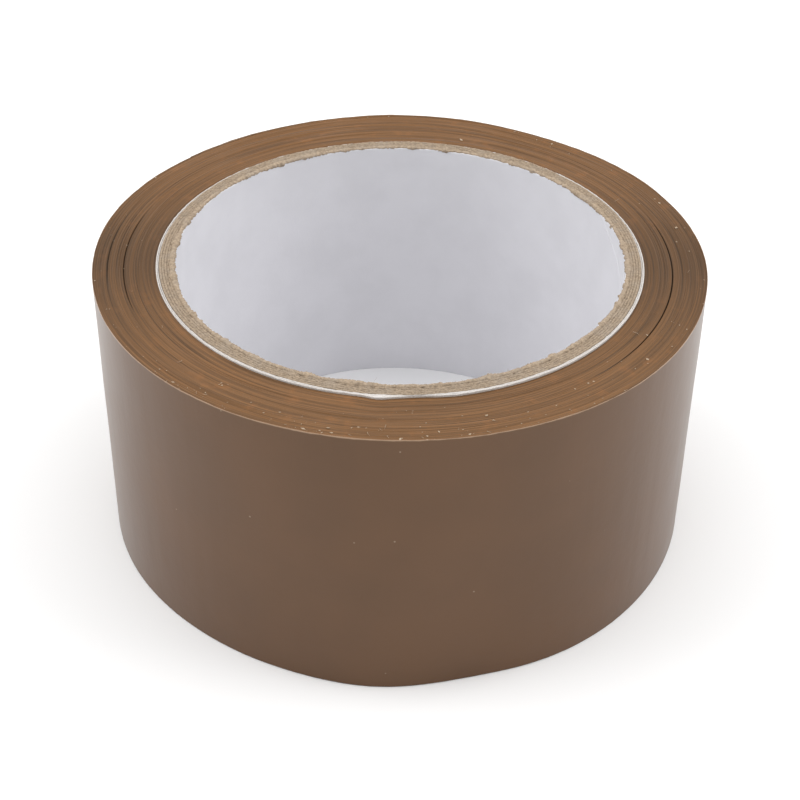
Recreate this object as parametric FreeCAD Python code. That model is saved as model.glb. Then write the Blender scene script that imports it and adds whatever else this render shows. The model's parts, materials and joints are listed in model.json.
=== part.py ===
"""Roll of packing tape: a spiral-wound paper core, the wound film, and the film's free end on a peel hinge.

Millimetres, +Z up. The origin is on the roll's axis, in the plane that the roll stands on.
"""
import FreeCAD, Part
import math
import os

# Tape
TAPE_WIDTH = 50.0
TAPE_LENGTH = 66000.0
TAPE_THICKNESS = 0.0465
FREE_END_LENGTH = 40.0
FREE_END_LIFT = 0.3
PEEL_LINE_ANGLE = 95.0

# Core: one liner strip, grey board strips and white cover strips, from the bore outwards
BORE_RADIUS = 38.1
LINER_PLY = 0.4
BOARD_PLY = 0.45
BOARD_PLIES = 5
COVER_PLY = 0.275
COVER_PLIES = 2
CORE_PROUD = 0.2

# Spiral winding of the core's strips
STRIP_WIDTH = 100.0
SEAM_GAP = 0.3
SEAM_OVERRUN = 1.0
FIRST_SEAM_ANGLE = 213.0
SEAM_STAGGER = 137.5

CORE_RADIUS = BORE_RADIUS + LINER_PLY + BOARD_PLIES * BOARD_PLY + COVER_PLIES * COVER_PLY
CORE_LENGTH = TAPE_WIDTH + 2 * CORE_PROUD
TAPE_BOTTOM = CORE_PROUD
WOUND_AREA = TAPE_LENGTH * TAPE_THICKNESS
ROLL_RADIUS = math.sqrt(CORE_RADIUS ** 2 + WOUND_AREA / math.pi)
LAST_LAP_BORE = ROLL_RADIUS - TAPE_THICKNESS
# The free end springs open a little: its curvature is lower than the roll's by the lift at its tip.
FREE_END_RADIUS = 1 / (1 / ROLL_RADIUS - 2 * FREE_END_LIFT / FREE_END_LENGTH ** 2)


def around(radius, degrees, height=0.0, centre=FreeCAD.Vector(0, 0, 0)):
    """Point at an angle around an upright axis through the centre."""
    angle = math.radians(degrees)
    return centre + FreeCAD.Vector(radius * math.cos(angle), radius * math.sin(angle), height)


def tube(inner, outer, bottom, length):
    """Upright tube on the roll's axis."""
    foot = FreeCAD.Vector(0, 0, bottom)
    return Part.makeCylinder(outer, length, foot).cut(Part.makeCylinder(inner, length, foot))


def seam(inner, outer):
    """The air in the butt joint between two turns of one spiral strip, from below the core to above it."""
    mean = (inner + outer) / 2
    turn = 2 * math.pi * mean
    climb = math.asin(STRIP_WIDTH / turn)
    helix = Part.makeHelix(turn * math.tan(climb), CORE_LENGTH + 2 * SEAM_OVERRUN, mean)
    across = FreeCAD.Vector(0, -math.sin(climb), math.cos(climb)) * (SEAM_GAP / 2)
    near = FreeCAD.Vector(inner - SEAM_GAP, 0, 0)
    far = FreeCAD.Vector(outer + SEAM_GAP, 0, 0)
    section = Part.makePolygon([near - across, far - across, far + across, near + across, near - across])
    air = helix.makePipeShell([section], True, True)
    air.translate(FreeCAD.Vector(0, 0, -SEAM_OVERRUN))
    return air


def spiral_ply(inner, thickness, place):
    """One strip of the core, wound so that its edges meet in a narrow spiral seam."""
    air = seam(inner, inner + thickness)
    angle = FIRST_SEAM_ANGLE + place * SEAM_STAGGER
    air.rotate(FreeCAD.Vector(0, 0, 0), FreeCAD.Vector(0, 0, 1), angle)
    return tube(inner, inner + thickness, 0, CORE_LENGTH).cut(air)


def core_plies():
    """Every ply of the core by name, from the bore outwards."""
    layers = [("core_liner_ply", LINER_PLY)]
    layers += [(f"core_board_ply_{i + 1}", BOARD_PLY) for i in range(BOARD_PLIES)]
    layers += [(f"core_cover_ply_{i + 1}", COVER_PLY) for i in range(COVER_PLIES)]
    plies = {}
    inner = BORE_RADIUS
    for place, (name, thickness) in enumerate(layers):
        plies[name] = spiral_ply(inner, thickness, place)
        inner += thickness
    return plies


def film_arc(outer_radius, centre, start, end):
    """One thickness of film standing on edge along an arc, as wide as the tape."""
    inner_radius = outer_radius - TAPE_THICKNESS
    middle = (start + end) / 2
    outside = Part.Arc(*[around(outer_radius, a, TAPE_BOTTOM, centre) for a in (start, middle, end)])
    inside = Part.Arc(*[around(inner_radius, a, TAPE_BOTTOM, centre) for a in (end, middle, start)])
    edges = [
        outside.toShape(),
        Part.makeLine(around(outer_radius, end, TAPE_BOTTOM, centre), around(inner_radius, end, TAPE_BOTTOM, centre)),
        inside.toShape(),
        Part.makeLine(around(inner_radius, start, TAPE_BOTTOM, centre), around(outer_radius, start, TAPE_BOTTOM, centre)),
    ]
    return Part.Face(Part.Wire(edges)).extrude(FreeCAD.Vector(0, 0, TAPE_WIDTH))


def tape_winding():
    """All the laps under the last one."""
    return tube(CORE_RADIUS, LAST_LAP_BORE, TAPE_BOTTOM, TAPE_WIDTH)


def tape_outer_lap():
    """The last lap, from under the tape's cut end round to the peel line."""
    cut_end = PEEL_LINE_ANGLE + math.degrees(FREE_END_LENGTH / ROLL_RADIUS)
    return film_arc(ROLL_RADIUS, FreeCAD.Vector(0, 0, 0), cut_end, PEEL_LINE_ANGLE + 360)


def tape_free_end():
    """The loose stretch between the peel line and the cut end, tangent to the roll at the peel line."""
    centre = around(ROLL_RADIUS - FREE_END_RADIUS, PEEL_LINE_ANGLE)
    sweep = math.degrees(FREE_END_LENGTH / FREE_END_RADIUS)
    return film_arc(FREE_END_RADIUS, centre, PEEL_LINE_ANGLE, PEEL_LINE_ANGLE + sweep)


def main():
    """Writes one STEP file per piece."""
    pieces = core_plies()
    pieces["tape_winding"] = tape_winding()
    pieces["tape_outer_lap"] = tape_outer_lap()
    pieces["tape_free_end"] = tape_free_end()
    os.makedirs("parts", exist_ok=True)
    for name, shape in pieces.items():
        solid = shape.Solids[0] if len(shape.Solids) == 1 else shape
        solid.exportStep(f"parts/{name}.step")
        print(f"{name}: {len(shape.Solids)} solid, {shape.Volume:.1f} mm3, valid {shape.isValid()}")


main()
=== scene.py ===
"""A roll of packing tape on its spiral-wound paper core, with the film's free end starting at the peel hinge.

Lengths are in millimetres until a mesh is made, and angles are in degrees, counted from +X towards +Y.
"""
import json
import math

import bpy
import numpy as np
from bpy.props import FloatProperty, FloatVectorProperty, IntProperty, PointerProperty
from mathutils import Matrix, Vector


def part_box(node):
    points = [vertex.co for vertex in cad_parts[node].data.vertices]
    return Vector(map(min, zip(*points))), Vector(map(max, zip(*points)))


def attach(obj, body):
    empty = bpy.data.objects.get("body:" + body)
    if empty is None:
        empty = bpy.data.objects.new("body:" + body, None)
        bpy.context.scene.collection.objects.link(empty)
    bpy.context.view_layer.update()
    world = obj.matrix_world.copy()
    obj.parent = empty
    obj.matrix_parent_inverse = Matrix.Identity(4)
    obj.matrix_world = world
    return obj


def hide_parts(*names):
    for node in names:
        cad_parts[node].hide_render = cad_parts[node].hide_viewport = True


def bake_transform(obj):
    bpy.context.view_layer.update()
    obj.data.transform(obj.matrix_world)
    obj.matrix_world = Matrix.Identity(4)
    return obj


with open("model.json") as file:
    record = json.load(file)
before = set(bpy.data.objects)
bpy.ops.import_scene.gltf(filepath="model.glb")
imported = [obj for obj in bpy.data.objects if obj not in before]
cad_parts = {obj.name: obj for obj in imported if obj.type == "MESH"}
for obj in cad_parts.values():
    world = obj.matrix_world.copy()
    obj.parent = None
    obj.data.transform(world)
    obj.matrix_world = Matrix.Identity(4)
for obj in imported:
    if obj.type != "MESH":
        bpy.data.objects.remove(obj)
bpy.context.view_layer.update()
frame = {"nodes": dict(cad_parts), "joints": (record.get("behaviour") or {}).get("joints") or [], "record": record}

bl_info = {
    "name": "Packing tape roll",
    "version": (1, 0, 0),
    "blender": (4, 5, 0),
    "location": "3D View > Sidebar > Tape Roll",
    "description": "Builds a roll of packing tape around its packed frame",
    "category": "Add Mesh",
}

MM = 0.001


# ---------------------------------------------------------------- sizes from the frame


def outer_radius(node):
    """Largest distance of a CAD node from the roll's axis, along X, in millimetres."""
    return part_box(node)[1].x / MM


def mount(name):
    """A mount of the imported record."""
    return next(m for m in frame["record"]["mounts"] if m["name"] == name)


PEEL = frame["joints"][0]
BORE = mount("core_bore")["dims"]["r_mm"]
BOARD_NODES = sorted(n for n in frame["nodes"] if n.startswith("core_board_ply"))
COVER_NODES = sorted(n for n in frame["nodes"] if n.startswith("core_cover_ply"))
LINER_OUTER = outer_radius("core_liner_ply")
BOARD_RADII = [LINER_OUTER] + [outer_radius(n) for n in BOARD_NODES]
COVER_RADII = [BOARD_RADII[-1]] + [outer_radius(n) for n in COVER_NODES]
CORE = COVER_RADII[-1]
CORE_BOTTOM, CORE_TOP = [corner.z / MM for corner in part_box("core_liner_ply")]
TAPE_BOTTOM, TAPE_TOP = [corner.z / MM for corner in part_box("tape_winding")]
ROLL = outer_radius("tape_outer_lap")
FILM = ROLL - outer_radius("tape_winding")
BUILD_UP = ROLL - CORE
PEEL_ANGLE = math.degrees(math.atan2(PEEL["pos_m"][1], PEEL["pos_m"][0]))

# The rest is in millimetres and degrees: the free end's length and its lift at the cut, the width of a core
# strip, the first strip's seam and the turn from one strip's seam to the next, how far above the floor the
# lowest point stays, and how far a film's edge stands over the winding.
FREE_LENGTH = 40.0
FREE_LIFT = 0.14
CUT_ANGLE = PEEL_ANGLE + math.degrees(FREE_LENGTH / ROLL)
STRIP_WIDTH = 100.0
FIRST_SEAM = 213.0
SEAM_STEP = 137.5
FLOOR_GAP = 0.002
RIM = 0.08


# ---------------------------------------------------------------- settings


class CoreSettings(bpy.types.PropertyGroup):
    """The paper core."""

    fuzz: FloatProperty(
        name="Edge fuzz", description="Height of the torn fibres on the board's cut edge, in mm",
        default=0.2, min=0.0, max=1.0)
    burr: FloatProperty(
        name="Burr", description="Mean thickness of the ragged burr around the bore, in mm",
        default=0.3, min=0.05, max=1.0)
    fibres: IntProperty(
        name="Fibres", description="Loose fibres on the upper cut edge", default=2600, min=0)
    seam_angle: FloatProperty(
        name="Cover seam", description="Where the outer cover strip overlaps itself at the top, in degrees",
        default=266.0, min=0.0, max=360.0)
    liner_colour: FloatVectorProperty(
        name="Liner", description="Colour of the white liner", subtype="COLOR",
        default=(0.69, 0.685, 0.714), min=0.0, max=1.0)
    board_colour: FloatVectorProperty(
        name="Board", description="Colour of the grey board", subtype="COLOR",
        default=(0.315, 0.242, 0.172), min=0.0, max=1.0)
    cover_colour: FloatVectorProperty(
        name="Cover", description="Colour of the white cover strips", subtype="COLOR",
        default=(0.60, 0.565, 0.535), min=0.0, max=1.0)


class TapeSettings(bpy.types.PropertyGroup):
    """The wound film."""

    lap_relief: FloatProperty(
        name="Lap relief", description="How far the laps' edges stand above each other, in mm",
        default=0.07, min=0.0, max=0.3)
    out_of_round: FloatProperty(
        name="Out of round", description="How far the outside leaves a true circle, in mm",
        default=0.4, min=0.0, max=1.0)
    film_colour: FloatVectorProperty(
        name="Film", description="Colour of the wound film", subtype="COLOR",
        default=(0.092, 0.041, 0.0155), min=0.0, max=1.0)
    edge_colour: FloatVectorProperty(
        name="Film edge", description="Colour of the side of the winding", subtype="COLOR",
        default=(0.153, 0.071, 0.0245), min=0.0, max=1.0)


class StageSettings(bpy.types.PropertyGroup):
    """Camera, floor and light."""

    elevation: FloatProperty(
        name="Elevation", description="Camera's height above the horizon", subtype="ANGLE",
        default=math.radians(36.203))
    distance: FloatProperty(
        name="Distance", description="From the camera to its aim", unit="LENGTH", default=0.305)
    tilt: FloatProperty(
        name="Tilt", description="Camera's turn about its own axis", subtype="ANGLE",
        default=math.radians(0.865))
    lens: FloatProperty(name="Lens", description="Focal length in mm", default=76.65)
    aim: FloatVectorProperty(
        name="Aim", description="The point that the camera looks at", subtype="TRANSLATION",
        default=(0.00033, -0.00215, 0.02126))
    floor_colour: FloatVectorProperty(
        name="Floor", description="Colour of the floor", subtype="COLOR",
        default=(0.93, 0.93, 0.93), min=0.0, max=1.0)


# ---------------------------------------------------------------- shader arithmetic


class Value:
    """A shader socket that takes part in arithmetic: each operation adds a Math node."""

    def __init__(self, finish, socket):
        self.finish = finish
        self.socket = socket

    def math(self, operation, a, b):
        return self.finish.node("ShaderNodeMath", {"operation": operation}, {0: a, 1: b})[0]

    def __add__(self, other):
        return self.math("ADD", self, other)

    def __radd__(self, other):
        return self.math("ADD", other, self)

    def __sub__(self, other):
        return self.math("SUBTRACT", self, other)

    def __rsub__(self, other):
        return self.math("SUBTRACT", other, self)

    def __mul__(self, other):
        return self.math("MULTIPLY", self, other)

    def __rmul__(self, other):
        return self.math("MULTIPLY", other, self)

    def between(self, low, high):
        """0 below low, 1 above high, and a smooth step from one to the other."""
        settings = {"interpolation_type": "SMOOTHSTEP"}
        return self.finish.node("ShaderNodeMapRange", settings, {"Value": self, 1: low, 2: high})[0]


class Finish:
    """One material: a Principled shader whose constants are set at once, and nodes that vary over a surface."""

    def __init__(self, name, constants):
        self.material = bpy.data.materials.new(name)
        self.material.use_nodes = True
        self.tree = self.material.node_tree
        self.shader = self.tree.nodes["Principled BSDF"]
        self.set(constants)

    def node(self, kind, settings, inputs):
        """Adds a node: its settings first, then its inputs, which are numbers, colours or links."""
        node = self.tree.nodes.new(kind)
        for name, value in settings.items():
            setattr(node, name, value)
        for key, value in inputs.items():
            self.feed(node.inputs[key], value)
        return [Value(self, output) for output in node.outputs]

    def feed(self, socket, value):
        """Links a value to a socket, or sets the socket's own number."""
        if isinstance(value, Value):
            self.tree.links.new(value.socket, socket)
        elif socket.type == "RGBA" and len(value) == 3:
            socket.default_value = (*value, 1.0)
        else:
            socket.default_value = value

    def set(self, inputs):
        """Feeds sockets of the Principled shader."""
        for name, value in inputs.items():
            self.feed(self.shader.inputs[name], value)

    def place(self):
        """X, Y and Z in millimetres."""
        spot = self.node("ShaderNodeTexCoord", {}, {})[3]
        return [v * (1 / MM) for v in self.node("ShaderNodeSeparateXYZ", {}, {0: spot})]

    def vector(self, x, y, z):
        """Three values or numbers as one vector."""
        return self.node("ShaderNodeCombineXYZ", {}, {0: x, 1: y, 2: z})[0]

    def attribute(self, name):
        """A number that the mesh carries at each point."""
        return self.node("ShaderNodeAttribute", {"attribute_name": name}, {})[2]

    def noise(self, vector, scale=1.0, detail=2.0, roughness=0.5):
        """Smooth noise from 0 to 1."""
        inputs = {"Vector": vector, "Scale": scale, "Detail": detail, "Roughness": roughness}
        return self.node("ShaderNodeTexNoise", {}, inputs)[0]

    def spots(self, vector, scale, size):
        """1 in small scattered spots and 0 elsewhere: size is their radius as a share of a cell."""
        inputs = {"Vector": vector, "Scale": scale}
        distance = self.node("ShaderNodeTexVoronoi", {}, inputs)[0]
        return 1 - distance.between(size * 0.5, size)

    def mix(self, factor, a, b):
        """Colour a where the factor is 0 and b where it is 1."""
        return self.node("ShaderNodeMix", {"data_type": "RGBA"}, {0: factor, 6: a, 7: b})[2]

    def bump(self, height, strength, distance):
        """A normal from a height in millimetres."""
        inputs = {"Strength": strength, "Distance": distance * MM, "Height": height}
        return self.node("ShaderNodeBump", {}, inputs)[0]


def shade(colour, factor):
    """A colour made lighter or darker by a factor."""
    return tuple(min(1.0, c * factor) for c in colour)


# ---------------------------------------------------------------- finishes


def film_finish():
    """Glossy brown film over adhesive: faint streaks along the roll's axis, small dents and a few dust specks."""
    colour = bpy.context.scene.tape_roll_tape.film_colour[:]
    film = Finish("film_face", {"IOR": 1.5, "Specular Tint": (1.0, 0.9, 0.78)})
    x, y, z = film.place()
    spot = film.vector(x, y, z)
    streak = film.noise(film.vector(x, y, z * 0.02), 1.4, 3.0, 0.6)
    cloud = film.noise(spot, 0.06, 3.0)
    dents = film.noise(spot, 0.55, 2.0)
    speck = film.spots(spot, 0.16, 0.035)
    tone = film.mix(cloud.between(0.3, 0.7), shade(colour, 0.94), shade(colour, 1.07))
    # Painted highlight: the film is made much lighter along its top edge, from just under the rim to 0.2 mm above
    # it.
    rim = (film.noise(film.vector(x, y, 0.0), 0.5) * 0.3 + z).between(TAPE_TOP - 0.05, TAPE_TOP + 0.2)
    tone = film.mix(rim, tone, (0.34, 0.22, 0.14))
    film.set({
        "Base Color": film.mix(speck * 0.6, tone, (0.35, 0.27, 0.2)),
        "Roughness": 0.25 + cloud * 0.1 + speck * 0.3,
        "Normal": film.bump(streak * 0.5 + dents, 0.25, 0.06)})
    return film.material


def winding_finish():
    """Side of the winding: fine lines where laps end at different heights, painted shade in gaps and bands of
    tone.
    """
    colour = bpy.context.scene.tape_roll_tape.edge_colour[:]
    side = Finish("winding_side", {"IOR": 1.45, "Anisotropic": 0.8, "Specular Tint": (1.0, 0.92, 0.8)})
    x, y = side.place()[:2]
    level = side.vector(x, y, 0.0)
    lap = side.attribute("lap") + side.noise(level, 0.4, 2.0) * 0.12
    fine = side.noise(side.vector(x * 0.04, y * 0.04, lap * 7.0), 1.0, 1.0)
    band = side.noise(side.vector(x * 0.03, y * 0.03, lap * 1.6), 1.0, 3.0, 0.6)
    grain = side.noise(side.vector(x, y, lap), 2.5, 3.0, 0.6)
    warm = side.noise(level, 0.35, 2.0)
    tone = side.mix(band.between(0.3, 0.7), shade(colour, 0.78), shade(colour, 1.18))
    tone = side.mix(fine.between(0.52, 0.72) * 0.7, tone, shade(colour, 1.5))
    tone = side.mix((1 - fine.between(0.30, 0.45)) * 0.8, tone, shade(colour, 0.45))
    tone = side.mix(warm.between(0.55, 0.75) * 0.25, tone, (0.30, 0.12, 0.035))
    tone = side.mix(grain.between(0.62, 0.8) * 0.3, tone, shade(colour, 1.5))
    # Painted shade: the gap attribute darkens the gaps between laps and the loose sectors near 0 and 180 degrees.
    side.set({
        "Base Color": side.mix(side.attribute("gap"), tone, shade(colour, 0.18)),
        "Roughness": 0.40 + grain * 0.2,
        "Normal": side.bump(fine + grain * 0.3, 0.5, 0.06)})
    return side.material


def board_finish(name, tint):
    """Cut and torn grey board: tan fibres, pale fibre ends and painted shade in its hollows."""
    colour = shade(bpy.context.scene.tape_roll_core.board_colour[:], tint)
    board = Finish(name, {"Roughness": 0.9, "IOR": 1.4})
    spot = board.vector(*board.place())
    pulp = board.noise(spot, 2.2, 4.0, 0.65)
    fleck = board.noise(spot, 6.0, 2.0, 0.6)
    patch = board.noise(spot, 0.35, 2.0)
    tone = board.mix(pulp.between(0.3, 0.7), shade(colour, 0.75), shade(colour, 1.25))
    tone = board.mix(fleck.between(0.6, 0.75) * 0.4, tone, (0.55, 0.48, 0.40))
    # Painted shade: darker where the fleck noise is low, which is also where the bump sinks.
    tone = board.mix((1 - fleck.between(0.28, 0.4)) * 0.35, tone, (0.15, 0.11, 0.08))
    tone = board.mix(patch.between(0.45, 0.7) * 0.3, tone, (0.34, 0.29, 0.24))
    board.set({"Base Color": tone, "Normal": board.bump(pulp + fleck * 0.5, 0.8, 0.15)})
    return board.material


def liner_finish():
    """White liner paper: cloudy pulp, a faint tooth and the shadow line of its butted seam."""
    colour = bpy.context.scene.tape_roll_core.liner_colour[:]
    paper = Finish("liner_paper", {"IOR": 1.45})
    spot = paper.vector(*paper.place())
    cloud = paper.noise(spot, 0.12, 4.0, 0.55)
    tooth = paper.noise(spot, 3.5, 3.0, 0.6)
    tone = paper.mix(cloud.between(0.3, 0.7), shade(colour, 0.97), shade(colour, 1.02))
    tone = paper.mix(paper.attribute("seam") * 0.5, tone, shade(colour, 0.72))
    paper.set({
        "Base Color": tone,
        "Roughness": 0.5 + tooth * 0.15,
        "Normal": paper.bump(tooth + cloud * 2.0, 0.35, 0.04)})
    return paper.material


def cover_finish():
    """White cover paper seen on edge: pale, slightly stained by glue, with fine fibre."""
    colour = bpy.context.scene.tape_roll_core.cover_colour[:]
    paper = Finish("cover_paper", {"Roughness": 0.6, "IOR": 1.45})
    spot = paper.vector(*paper.place())
    fibre = paper.noise(spot, 4.0, 3.0, 0.6)
    glue = paper.noise(spot, 0.5, 2.0)
    tone = paper.mix(fibre.between(0.35, 0.7), shade(colour, 0.86), shade(colour, 1.08))
    tone = paper.mix(glue.between(0.5, 0.7) * 0.3, tone, (0.62, 0.60, 0.60))
    paper.set({"Base Color": tone, "Normal": paper.bump(fibre, 0.5, 0.06)})
    return paper.material


def chip_finish():
    """Crumbs of adhesive and slit dust: pale, dull tan."""
    chip = Finish("slit_dust", {})
    grain = chip.noise(chip.vector(*chip.place()), 3.0, 2.0)
    chip.set({
        "Base Color": chip.mix(grain, (0.30, 0.20, 0.12), (0.52, 0.42, 0.31)),
        "Roughness": 0.6 + grain * 0.2})
    return chip.material


# ---------------------------------------------------------------- surfaces


def cylinder_noise(seed, turn, across, cells_round, cells_across):
    """Smooth random heights from -1 to 1 on a lattice that closes on itself round the roll.

    turn runs from 0 to 1 round the roll and across from 0 to 1 over the surface. Between lattice points the
    height is eased with the cubic that is flat at both ends.
    """
    heights = np.random.default_rng(seed).uniform(-1, 1, (cells_round, cells_across + 2))
    u = np.mod(turn, 1.0) * cells_round
    v = np.clip(across, 0, 1) * cells_across
    u, v = np.broadcast_arrays(u, v)
    i = np.floor(u).astype(int)
    j = np.floor(v).astype(int)
    a = u - i
    b = v - j
    a = a * a * (3 - 2 * a)
    b = b * b * (3 - 2 * b)
    k = (i + 1) % cells_round
    i = i % cells_round
    low = heights[i, j] * (1 - a) + heights[k, j] * a
    high = heights[i, j + 1] * (1 - a) + heights[k, j + 1] * a
    return low * (1 - b) + high * b


def bell(angle, centre, width):
    """A bump of height 1 around an angle, falling off as a bell curve of that width in degrees."""
    away = np.mod(angle - centre + 180, 360) - 180
    return np.exp(-(away / width) ** 2)


def seam_push(angle, depth):
    """How far the cover strip's overlap pushes a lap outwards, in mm, at a depth of film over the core.

    A crest over the seam, a trough and a lower crest after it, all dying away and widening through the laps.
    """
    seam = bpy.context.scene.tape_roll_core.seam_angle
    spread = 1 + np.maximum(depth, 0) * 0.22
    crest = bell(angle, seam, 2.6 * spread)
    trough = bell(angle, seam + 8.5, 3.6 * spread)
    swell = bell(angle, seam + 17, 4.5 * spread)
    return (0.45 * crest - 0.24 * trough + 0.10 * swell) * np.exp(-np.maximum(depth, 0) / 4.5)


def out_of_round(angle, share, drop=0.0):
    """How far the roll leaves a true circle, in mm: slow waves with a few bell-shaped bulges and hollows.

    share runs from 0 at the core to 1 at the rim. drop runs from 0 at the upper end of the roll to 1 at the
    lower end, which has bulges of its own.
    """
    size = bpy.context.scene.tape_roll_tape.out_of_round
    a = np.radians(angle)
    waves = 0.12 * np.sin(3 * a + 2.4) + 0.12 * np.sin(5 * a) + 0.10 * np.sin(7 * a + 1)
    upper = waves + bell(angle, 88, 13) - 1.1 * bell(angle, 56, 15) + 0.7 * bell(angle, 165, 24)
    lower = waves + 1.5 * bell(angle, 266, 12) - 1.1 * bell(angle, 285, 10) - 0.6 * bell(angle, 228, 17)
    return size * share * (upper * (1 - drop) + lower * drop)


def rim_height(angle, seed):
    """Height of a film edge along the roll, in mm: slow scallops with finer ones on them."""
    turn = angle / 360
    slow = cylinder_noise(seed, turn, 0.0, 46, 1)
    fine = cylinder_noise(seed + 1, turn, 0.0, 210, 1)
    return 0.05 * slow + 0.03 * fine


def polar_points(radius, angle, height):
    """Points in metres from a radius and height in mm and an angle in degrees, none of them below the floor."""
    radius, angle, height = np.broadcast_arrays(radius, np.radians(angle), np.maximum(height, FLOOR_GAP))
    return np.stack([radius * np.cos(angle), radius * np.sin(angle), height], axis=-1) * MM


def add_piece(name, points, faces, finish):
    """An object at the origin, from points in metres and faces."""
    mesh = bpy.data.meshes.new(name)
    mesh.from_pydata(points.reshape(-1, 3), [], faces)
    mesh.materials.append(finish)
    piece = bpy.data.objects.new(name, mesh)
    bpy.context.scene.collection.objects.link(piece)
    return piece


def add_surface(name, points, finish, closed_round=True, attributes=None):
    """A piece from a grid of points: rows run round the roll and each row is a closed section.

    Where the rows don't meet each other, the first and the last section are closed by a flat face.
    """
    rows, columns = points.shape[:2]
    index = np.arange(rows * columns).reshape(rows, columns)
    here = index if closed_round else index[:-1]
    after = np.roll(index, -1, axis=0) if closed_round else index[1:]
    quads = np.stack([here, np.roll(here, -1, 1), np.roll(after, -1, 1), after], axis=-1)
    faces = quads.reshape(-1, 4).tolist()
    if not closed_round:
        faces += [index[0, ::-1].tolist(), index[-1].tolist()]
    piece = add_piece(name, points, faces, finish)
    for key, values in (attributes or {}).items():
        layer = piece.data.attributes.new(key, "FLOAT", "POINT")
        layer.data.foreach_set("value", np.broadcast_to(values, (rows, columns)).astype(np.float32).ravel())
    piece.data.shade_smooth()
    return piece


def settle(piece, slot, *nodes, body="roll"):
    """Puts a finished piece on its body and hides the CAD nodes that it stands for."""
    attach(piece, body)
    if nodes:
        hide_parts(*nodes)


def section(inner, outer, bottom, top, across, up, round_off=0.03):
    """A closed ring section as radii and heights: over the top, down the outside, back below, up the inside.

    Its corners are cut off by round_off, and its walls have a point close to each corner, which keeps their
    shading even. Also returns how much each point belongs to the top and to the bottom face, from 0 to 1.
    """
    r = np.linspace(inner + round_off, outer - round_off, across)
    z = np.linspace(top - round_off, bottom + round_off, up)
    if up > 3:
        z[1], z[-2] = z[0] - 0.1, z[-1] + 0.1
    radii = np.concatenate([r, np.full(up, outer), r[::-1], np.full(up, inner)])
    heights = np.concatenate([np.full(across, top), z, np.full(across, bottom), z[::-1]])
    reach = 0.6
    on_top = np.clip((heights - top) / reach + 1, 0, 1)
    below = np.clip((bottom - heights) / reach + 1, 0, 1)
    return radii, heights, on_top, below


def board_relief(seed, turn, radius):
    """Height of the torn board edge, in mm: three sizes of lump, the large ones squared up into tufts."""
    across = (radius - BORE) / (CORE - BORE)
    lumps = cylinder_noise(seed, turn, across, 260, 4)
    tufts = cylinder_noise(seed + 1, turn, across, 640, 8)
    grit = cylinder_noise(seed + 2, turn, across, 1300, 14)
    return 0.45 * lumps + 0.4 * tufts * np.abs(tufts) + 0.3 * grit


# ---------------------------------------------------------------- core


def spiral(mean_radius):
    """Degrees that a strip's seam turns per mm of height: its width over the girth is the sine of its climb."""
    girth = 2 * math.pi * mean_radius
    climb = math.asin(STRIP_WIDTH / girth)
    return 360 / (girth * math.tan(climb))


def build_liner():
    """Liner ply: a thin tube whose rows lean along its spiral seam, so that the seam is a straight column.

    The wall dips into the seam's gap as a bell curve, and bulges and hollows slowly by a few hundredths.
    """
    twist = spiral((BORE + LINER_OUTER) / 2)
    even = np.linspace(0, 360, 1300, endpoint=False)
    near = np.linspace(-1.6, 1.6, 41)
    columns = np.sort(np.concatenate([even[(even > 1.7) & (even < 358.3)], np.mod(near, 360)]))[:, None]
    seam_foot = FIRST_SEAM + twist
    radii, heights, on_top, below = section(BORE, LINER_OUTER, CORE_BOTTOM, CORE_TOP, 5, 28)
    angle = columns + seam_foot + twist * heights[None, :]
    inside = (radii < (BORE + LINER_OUTER) / 2)[None, :]
    gap = bell(columns, 0, 0.30)
    lip = bell(columns, 0.75, 0.5) + bell(columns, -0.75, 0.5)
    wave = cylinder_noise(31, angle / 360, heights[None, :] / CORE_TOP, 14, 3)
    dimple = cylinder_noise(32, angle / 360, heights[None, :] / CORE_TOP, 60, 10)
    wall = inside * (0.16 * gap - 0.03 * lip + 0.05 * wave + 0.012 * dimple)
    edge = cylinder_noise(33, angle / 360, 0.0, 500, 1) * 0.06
    points = polar_points(radii + wall, angle, heights + on_top * edge - below * edge)
    piece = add_surface("liner_ply", points, liner_finish(), attributes={"seam": gap})
    settle(piece, "white_liner_paper", "core_liner_ply")


def build_boards():
    """Board plies: rings whose cut faces carry the torn relief.

    The relief is lower along each joint between two plies, and notched where a strip's two edges meet.
    """
    core = bpy.context.scene.tape_roll_core
    finish = board_finish("board_edge", 1.0)
    angle = np.linspace(0, 360, 1800, endpoint=False)[:, None]
    turn = angle / 360
    for place, node in enumerate(BOARD_NODES):
        inner, outer = BOARD_RADII[place], BOARD_RADII[place + 1]
        radii, heights, on_top, below = section(inner, outer, CORE_BOTTOM, CORE_TOP, 7, 5)
        seam = FIRST_SEAM + (CORE_TOP + 1) * spiral((inner + outer) / 2) + (place + 1) * SEAM_STEP
        joint = np.abs((radii - (inner + outer) / 2) / (outer - inner)) * 2
        crown = 0.7 - 0.5 * joint ** 6
        notch = 1.2 * bell(angle, seam, 0.35) ** 2
        above = core.fuzz * (board_relief(41, turn, radii) + crown - notch)
        under = core.fuzz * (board_relief(51, turn, radii) * 0.3 - notch)
        points = polar_points(radii, angle, heights + on_top * above - below * under)
        piece = add_surface(node.replace("core_", ""), points, finish)
        settle(piece, "grey_core_board", node)


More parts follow.
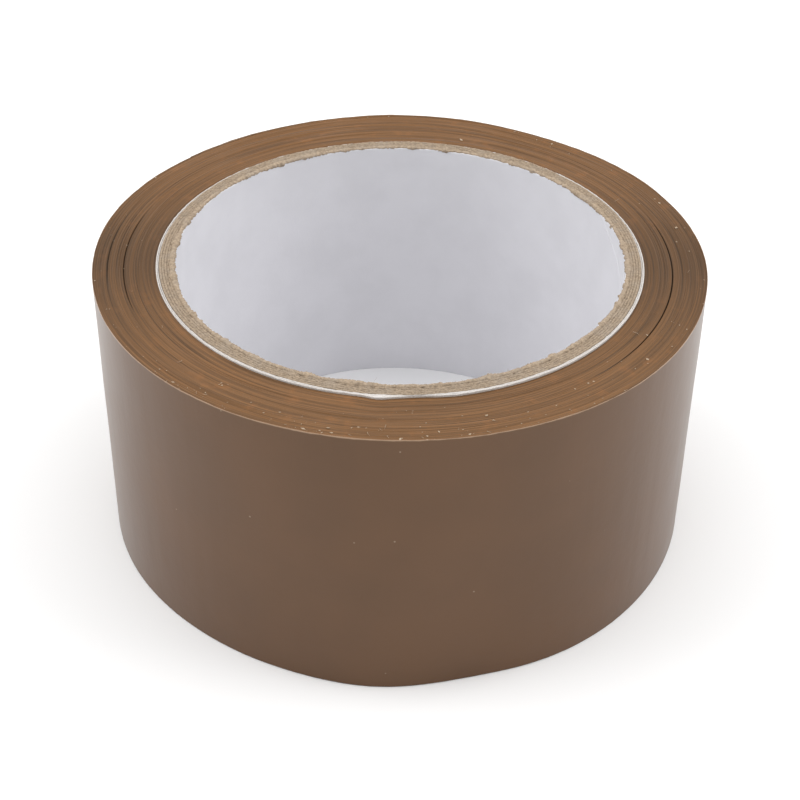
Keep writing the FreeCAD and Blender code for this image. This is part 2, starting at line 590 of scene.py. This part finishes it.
def build_covers():
    """Cover plies: two thin white rings with a hairline between them.

    They are pushed outwards where the outer strip overlaps itself.
    """
    finish = cover_finish()
    angle = np.linspace(0, 360, 1440, endpoint=False)[:, None]
    turn = angle / 360
    overlap = seam_push(angle, 0.0)
    for place, node in enumerate(COVER_NODES):
        inner, outer = COVER_RADII[place], COVER_RADII[place + 1]
        radii, heights, on_top, below = section(inner + 0.015, outer - 0.015, CORE_BOTTOM, CORE_TOP, 6, 6)
        push = overlap * (place + (radii > (inner + outer) / 2)) / len(COVER_NODES)
        edge = 0.05 * cylinder_noise(61 + place, turn, 0.0, 320, 1)
        edge = edge + 0.03 * cylinder_noise(63 + place, turn, radii - inner, 900, 3) - 0.04 * (1 - place)
        edge = edge - 0.04 - 0.18 * np.sin(np.radians(angle))
        groove = 0.07 + 0.15 * bell(angle, 200, 32)
        edge = edge - groove * np.abs(2 * (radii - inner) / (outer - inner) - 1) ** 3
        wander = 0.03 * cylinder_noise(65, turn, 0.0, 40, 1) * (1 - place)
        points = polar_points(radii + push + wander, angle, heights + on_top * edge - below * np.abs(edge) * 0.2)
        piece = add_surface(node.replace("core_", ""), points, finish)
        settle(piece, "white_cover_paper", node)


def build_burrs():
    """Burrs: the paper torn over the liner's edge by the saw, one at each end of the bore.

    Each is a closed rope round the bore. Its section is an ellipse whose size follows ragged noise, thin almost
    everywhere and thick in tufts. The lower one lies on the floor.
    """
    core = bpy.context.scene.tape_roll_core
    finish = board_finish("torn_board_edge", 1.12)
    angle = np.linspace(0, 360, 2400, endpoint=False)[:, None]
    turn = angle / 360
    phase = np.linspace(0, 2 * np.pi, 14, endpoint=False)[None, :]
    inset = 0.42
    for name, level, side, seed in (("upper_burr", CORE_TOP, 1, 71), ("lower_burr", CORE_BOTTOM, -1, 81)):
        quick = cylinder_noise(seed, turn, 0.0, 120, 1)
        slow = cylinder_noise(seed + 3, turn, 0.0, 37, 1)
        size = 0.35 + 0.5 * quick + 0.3 * slow
        tufts = np.maximum(cylinder_noise(seed + 1, turn, 0.0, 210, 1), 0) ** 2
        ragged = cylinder_noise(seed + 2, turn, phase / (2 * np.pi), 900, 5)
        reach = core.burr * (0.95 + 0.85 * np.maximum(size, 0) + 0.9 * tufts) * (1 + 0.3 * ragged)
        reach = reach if side > 0 else reach * 0.4
        radius = BORE + inset - np.cos(phase) * reach * 1.1
        rest = 0.05 if side > 0 else -0.02 - reach * 0.75
        points = polar_points(radius, angle, level + side * (rest + np.sin(phase) * reach * 0.75))
        points = points if side > 0 else points[:, ::-1]
        settle(add_surface(name, points, finish), "grey_core_board")


def add_hairs(name, start, along, bend, thickness, finish):
    """Hairs: each is a three-sided tube along a quadratic curve, tapering to its tip, with both ends closed.

    start, along and bend have one row for each hair, in mm.
    """
    steps = np.linspace(0, 1, 4)[None, :, None]
    line = start[:, None] + along[:, None] * steps + bend[:, None] * steps ** 2
    forward = along / np.linalg.norm(along, axis=1, keepdims=True)
    side = np.cross(forward, [0.12, 0.07, 0.99])
    side = side / np.linalg.norm(side, axis=1, keepdims=True)
    up = np.cross(side, forward)
    ring = np.radians([90, 210, 330])[:, None]
    spread = np.cos(ring) * side[:, None] + np.sin(ring) * up[:, None]
    thick = thickness * (1 - 0.6 * steps)[..., None]
    points = (line[:, :, None] + thick * spread[:, None]) * MM
    base = (np.arange(len(start)) * 12)[:, None, None]
    step = (np.arange(3) * 3)[None, :, None]
    corner = np.arange(3)[None, None, :]
    a = base + step + corner
    b = base + step + (corner + 1) % 3
    quads = np.stack([a, a + 3, b + 3, b], -1).reshape(-1, 4).tolist()
    ends = np.concatenate([base[:, 0] + [[0, 1, 2]], base[:, 0] + [[11, 10, 9]]]).tolist()
    return add_piece(name, points, quads + ends, finish)


def build_fibres():
    """Loose fibres: short bent hairs rooted in the cut board of the upper end, most of them near the bore."""
    core = bpy.context.scene.tape_roll_core
    count = core.fibres
    rng = np.random.default_rng(91)
    angle = rng.uniform(0, 2 * np.pi, count)
    root = BORE + 0.2 + rng.beta(1.0, 2.2, count) * (BOARD_RADII[-1] - BORE - 0.2)
    length = rng.gamma(3.0, 0.09, count)
    heading = rng.uniform(0, 2 * np.pi, count)
    climb = rng.uniform(0.1, 0.8, count)
    start = np.stack([root * np.cos(angle), root * np.sin(angle), np.full(count, CORE_TOP + 0.12)], -1)
    along = np.stack([np.cos(heading), np.sin(heading), climb], -1) * length[:, None]
    bend = rng.normal(0, 0.25, (count, 3)) * length[:, None]
    piece = add_hairs("upper_fibres", start, along, bend, 0.022, board_finish("loose_fibre", 1.3))
    settle(piece, "grey_core_board")


# ---------------------------------------------------------------- tape


GAPS = (
    # lap radius, middle of the gap in degrees, half its length in degrees, depth in mm
    (46.0, 345.0, 34.0, 0.5),
    (46.6, 182.0, 22.0, 0.35),
    (49.3, 176.0, 18.0, 0.30),
    (44.6, 216.0, 30.0, 0.12),
    (48.1, 300.0, 26.0, 0.10),
    (43.3, 285.0, 24.0, 0.10),
    (50.2, 236.0, 30.0, 0.08),
    (47.4, 60.0, 40.0, 0.12),
)


def lap_gaps(angle, lap):
    """Depth in mm of the gaps between slack laps.

    Each single gap is a bell-shaped groove across the laps that fades out at both ends. Two loose sectors, at
    the right and the left, have many shallow ones.
    """
    depth = 0.0
    for radius, middle, half, deep in GAPS:
        away = np.mod(angle - middle + 180, 360) - 180
        window = np.clip(1 - (away / half) ** 2, 0, 1) ** 0.7
        depth = depth + deep * window * np.exp(-((lap - radius) / 0.075) ** 2)
    loose = bell(angle, 0, 24) + bell(angle, 180, 20)
    comb = cylinder_noise(99, angle / 360, (lap - CORE) / BUILD_UP, 7, 64)
    return depth + 0.11 * loose * np.clip(comb + 0.2, 0, 1)


def lap_relief(seed, angle, lap):
    """Height of the winding's side: broad steps, bundles of laps and single laps, each drifting slowly round."""
    across = (lap - CORE) / BUILD_UP
    steps = cylinder_noise(seed, angle / 360, across, 5, 9)
    bundles = cylinder_noise(seed + 1, angle / 360, across, 9, 34)
    laps = cylinder_noise(seed + 2, angle / 360, across, 12, 88)
    return 0.7 * steps + 0.6 * bundles - 1.5 * np.abs(laps)


def build_winding():
    """Winding: three bands of laps, each a ring whose two side faces carry the laps' relief and gaps.

    Every lap follows the seam's push and the roll's out-of-round shape, so the lines bend together.
    """
    tape = bpy.context.scene.tape_roll_tape
    finish = winding_finish()
    angle = np.linspace(0, 360, 780, endpoint=False)[:, None]
    limits = np.linspace(CORE, ROLL - 2 * FILM, 4)
    names = ("inner_laps", "middle_laps", "outer_laps")
    for place, name in enumerate(names):
        inner, outer = limits[place], limits[place + 1]
        lap, heights, on_top, below = section(inner, outer, TAPE_BOTTOM, TAPE_TOP, 58, 3, 0.005)
        share = (lap - CORE) / BUILD_UP
        drop = 1 - heights / TAPE_TOP
        radius = lap + seam_push(angle, lap - CORE) + out_of_round(angle, share, drop)
        gap = lap_gaps(angle, lap)
        above = tape.lap_relief * lap_relief(101, angle, lap) - gap
        under = tape.lap_relief * lap_relief(111, angle, lap) - gap * 0.6
        points = polar_points(radius, angle, heights + on_top * above - below * under)
        # Painted shade mask: the gaps' depth plus the loose sectors near 358 and 182 degrees, on the side faces
        # only.
        loose = bell(angle, 358, 30) + bell(angle, 182, 26)
        groove = np.clip(gap / 0.4 + 0.45 * loose, 0, 1) * np.maximum(on_top, below)
        piece = add_surface(name, points, finish, attributes={"lap": lap[None, :], "gap": groove})
        settle(piece, "brown_film_winding", "tape_winding")


def film_strip(angle, lift, raise_rim):
    """A film standing on edge: outside from top to bottom, then inside from bottom to top, rounded by its rim.

    angle and lift have one value for each column of the strip: lift is the height off the roll, and raise_rim how
    far the film's edge stands over the winding, both in mm.
    """
    z = np.concatenate([[0, 0.001], np.linspace(0.01, 0.99, 31), [0.999, 1]])
    top = TAPE_TOP + raise_rim + rim_height(angle, 121)[:, None]
    bottom = TAPE_BOTTOM - 0.04 - rim_height(angle, 131)[:, None] * 0.5
    down = top + (bottom - top) * z[None, :]
    heights = np.concatenate([down, down[:, ::-1]], axis=1)
    depth = np.repeat([0.0, FILM], len(z))[None, :]
    angle = angle[:, None]
    height = np.clip(heights / TAPE_TOP, 0, 1)
    ripple = 0.010 * cylinder_noise(141, angle / 360, height, 150, 4)
    dent = 0.03 * cylinder_noise(142, angle / 360, height, 26, 5)
    shape = seam_push(angle, BUILD_UP) + out_of_round(angle, 1.0, 1 - height)
    return polar_points(ROLL + lift[:, None] + shape + ripple + dent - depth, angle, heights)


def build_outer_laps(finish):
    """Outer laps: the closed lap under the free end, and the last lap from the cut end round to the peel line."""
    angle = np.linspace(0, 360, 1200, endpoint=False)
    strip = film_strip(angle, np.full_like(angle, -FILM - 0.004), 0.0)
    settle(add_surface("under_lap", strip, finish), "brown_film_winding", "tape_winding")
    angle = np.linspace(CUT_ANGLE, PEEL_ANGLE + 360, 1180)
    piece = add_surface("outer_lap", film_strip(angle, np.zeros_like(angle), RIM), finish, closed_round=False)
    settle(piece, "brown_film", "tape_outer_lap")


def build_free_end(finish):
    """Free end: the film past the peel line, which leaves the roll as the square of its length up to the cut.
    """
    angle = np.linspace(PEEL_ANGLE, CUT_ANGLE, 140)
    share = (angle - PEEL_ANGLE) / (CUT_ANGLE - PEEL_ANGLE)
    piece = add_surface("free_end", film_strip(angle, FREE_LIFT * share ** 2, RIM), finish, closed_round=False)
    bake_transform(piece)
    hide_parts("tape_free_end")


def build_crumbs(finish):
    """Crumbs: small irregular eight-sided chips of adhesive and slit dust on the upper side, mostly by the rim."""
    rng = np.random.default_rng(151)
    count = 170
    angle = np.where(rng.random(count) < 0.55, rng.normal(262, 32, count), rng.uniform(0, 360, count))
    lap = CORE + BUILD_UP * rng.beta(3.2, 1.1, count)
    size = rng.gamma(2.0, 0.035, count) + 0.03
    stretch = rng.uniform(0.5, 2.2, count)
    radius = lap + seam_push(angle, lap - CORE) + out_of_round(angle, (lap - CORE) / BUILD_UP)
    centre = polar_points(radius, angle, TAPE_TOP + 0.03)
    shape = np.array([[1, 0, 0], [0, 1, 0], [-1, 0, 0], [0, -1, 0], [0, 0, 1], [0, 0, -1]], float)
    shape = shape[None] * rng.uniform(0.6, 1.3, (count, 6, 1))
    shape[:, :, 0] *= stretch[:, None]
    shape[:, :, 2] *= 0.45
    turn = rng.uniform(0, 2 * np.pi, count)
    cos, sin = np.cos(turn)[:, None], np.sin(turn)[:, None]
    x, y, z = np.moveaxis(shape, -1, 0)
    local = np.stack([x * cos - y * sin, x * sin + y * cos, z], -1)
    points = centre[:, None] + local * size[:, None, None] * MM
    faces = np.array([[0, 1, 4], [1, 2, 4], [2, 3, 4], [3, 0, 4], [1, 0, 5], [2, 1, 5], [3, 2, 5], [0, 3, 5]])
    faces = (faces[None] + (np.arange(count) * 6)[:, None, None]).reshape(-1, 3).tolist()
    settle(add_piece("slit_crumbs", points, faces, finish), "brown_film_winding")


STRANDS = (
    # degrees, lap radius, length and turn away from the radius in degrees, of one adhesive strand
    (27, 43.0, 0.8, 20), (211, 44.0, 0.5, 70), (224, 46.5, 1.2, 8), (233, 50.5, 0.9, 35), (235, 50.0, 0.8, -30),
    (251, 51.0, 0.5, 75), (262, 51.0, 0.5, 80), (265, 50.0, 1.1, 5), (267, 49.0, 0.6, 20), (268, 48.0, 0.9, -10),
    (274, 51.0, 0.5, 50), (285, 51.0, 0.6, 30), (287, 48.5, 0.7, 12), (329, 43.5, 1.5, 6), (355, 48.5, 0.6, 60),
)


def build_strands(finish):
    """Strands: thin pulled threads of adhesive lying across the laps' edges."""
    angle, lap, length, lean = np.array(STRANDS, float).T
    radius = lap + seam_push(angle, lap - CORE) + out_of_round(angle, (lap - CORE) / BUILD_UP)
    start = polar_points(radius, angle, TAPE_TOP + 0.07) / MM
    heading = np.radians(angle + lean)
    along = np.stack([np.cos(heading), np.sin(heading), np.full(len(angle), 0.05)], -1) * length[:, None]
    bend = np.random.default_rng(161).normal(0, 0.2, (len(angle), 3)) * length[:, None] * [1, 1, 0.3]
    piece = add_hairs("adhesive_strands", start, along, bend, 0.045, finish)
    settle(piece, "brown_film_winding")


# ---------------------------------------------------------------- stage


def add_softbox(name, place, target, size, power):
    """A rectangular area light that faces a point."""
    light = bpy.data.lights.new(name, "AREA")
    light.shape = "RECTANGLE"
    light.size, light.size_y = size
    light.energy = power
    box = bpy.data.objects.new(name, light)
    box.location = place
    box.rotation_mode = "QUATERNION"
    box.rotation_quaternion = (Vector(place) - Vector(target)).to_track_quat("Z", "Y")
    bpy.context.scene.collection.objects.link(box)


def build_stage():
    """Floor, studio light and camera."""
    stage = bpy.context.scene.tape_roll_stage
    finish = Finish("studio_floor", {"Roughness": 0.9})
    cloud = finish.noise(finish.vector(*finish.place()), 0.01, 3.0)
    colour = stage.floor_colour[:]
    finish.set({"Base Color": finish.mix(cloud, shade(colour, 0.99), shade(colour, 1.01))})
    ring = np.linspace(0, 2 * np.pi, 96, endpoint=False)
    reach = 6.0
    points = np.stack([np.cos(ring) * reach, np.sin(ring) * reach, np.zeros_like(ring)], -1)
    floor = add_piece("floor", points, [list(range(len(ring)))], finish.material)

    world = bpy.data.worlds.new("white_tent")
    world.use_nodes = True
    background = world.node_tree.nodes["Background"].inputs
    background["Color"].default_value = (1.0, 1.0, 1.0, 1.0)
    background["Strength"].default_value = 0.85
    bpy.context.scene.world = world

    middle = (0.0, 0.0, 0.03)
    add_softbox("overhead_box", (0.0, 0.15, 1.3), middle, (1.4, 1.0), 3.0)
    add_softbox("left_box", (-0.95, 0.1, 1.0), middle, (0.9, 1.0), 7.5)
    add_softbox("right_box", (0.95, 0.1, 1.0), middle, (0.9, 1.0), 7.5)

    camera = bpy.data.cameras.new("camera")
    camera.lens = stage.lens
    camera.clip_start = 0.01
    viewer = bpy.data.objects.new("camera", camera)
    tall, tilt = stage.elevation, stage.tilt
    back = Vector((0, -math.cos(tall), math.sin(tall)))
    right = Vector((1, 0, 0))
    up = Vector((0, math.sin(tall), math.cos(tall)))
    across = right * math.cos(tilt) + up * math.sin(tilt)
    upright = up * math.cos(tilt) - right * math.sin(tilt)
    turned = Matrix((across, upright, back)).transposed().to_4x4()
    viewer.matrix_world = Matrix.Translation(Vector(stage.aim) + back * stage.distance) @ turned
    bpy.context.scene.collection.objects.link(viewer)
    bpy.context.scene.camera = viewer
    bpy.context.scene.view_settings.view_transform = "Standard"


# ---------------------------------------------------------------- add-on


class TAPE_ROLL_OT_core(bpy.types.Operator):
    """Builds the core's liner, board and cover plies"""

    bl_idname = "tape_roll.core"
    bl_label = "Core plies"

    def execute(self, context):
        build_liner()
        build_boards()
        build_covers()
        return {"FINISHED"}


class TAPE_ROLL_OT_torn_edges(bpy.types.Operator):
    """Builds the burrs and loose fibres of the core's cut ends"""

    bl_idname = "tape_roll.torn_edges"
    bl_label = "Torn edges"

    def execute(self, context):
        build_burrs()
        build_fibres()
        return {"FINISHED"}


class TAPE_ROLL_OT_winding(bpy.types.Operator):
    """Builds the wound laps and the crumbs on their side"""

    bl_idname = "tape_roll.winding"
    bl_label = "Winding"

    def execute(self, context):
        build_winding()
        chip = chip_finish()
        build_crumbs(chip)
        build_strands(chip)
        return {"FINISHED"}


class TAPE_ROLL_OT_outer_film(bpy.types.Operator):
    """Builds the outer lap and the tape's free end"""

    bl_idname = "tape_roll.outer_film"
    bl_label = "Outer film"

    def execute(self, context):
        film = film_finish()
        build_outer_laps(film)
        build_free_end(film)
        return {"FINISHED"}


class TAPE_ROLL_OT_stage(bpy.types.Operator):
    """Builds the floor, the studio light and the camera"""

    bl_idname = "tape_roll.stage"
    bl_label = "Stage"

    def execute(self, context):
        build_stage()
        return {"FINISHED"}


class VIEW3D_PT_tape_roll(bpy.types.Panel):
    """Lists the roll's operators and settings"""

    bl_label = "Tape Roll"
    bl_space_type = "VIEW_3D"
    bl_region_type = "UI"
    bl_category = "Tape Roll"

    def draw(self, context):
        for tool in OPERATORS:
            self.layout.operator(tool.bl_idname)
        for name in SETTINGS:
            group = getattr(context.scene, name)
            for key in group.__annotations__:
                self.layout.prop(group, key)


SETTINGS = {
    "tape_roll_core": CoreSettings,
    "tape_roll_tape": TapeSettings,
    "tape_roll_stage": StageSettings,
}
OPERATORS = (
    TAPE_ROLL_OT_stage,
    TAPE_ROLL_OT_core,
    TAPE_ROLL_OT_torn_edges,
    TAPE_ROLL_OT_winding,
    TAPE_ROLL_OT_outer_film,
)


def register():
    for group in SETTINGS.values():
        bpy.utils.register_class(group)
    for name, group in SETTINGS.items():
        setattr(bpy.types.Scene, name, PointerProperty(type=group))
    for tool in OPERATORS:
        bpy.utils.register_class(tool)
    bpy.utils.register_class(VIEW3D_PT_tape_roll)


def unregister():
    bpy.utils.unregister_class(VIEW3D_PT_tape_roll)
    for tool in reversed(OPERATORS):
        bpy.utils.unregister_class(tool)
    for name, group in SETTINGS.items():
        delattr(bpy.types.Scene, name)
        bpy.utils.unregister_class(group)


def main():
    """Registers the add-on and builds everything."""
    register()
    bpy.ops.tape_roll.stage()
    bpy.ops.tape_roll.core()
    bpy.ops.tape_roll.torn_edges()
    bpy.ops.tape_roll.winding()
    bpy.ops.tape_roll.outer_film()


if __name__ == "__main__":
    main()
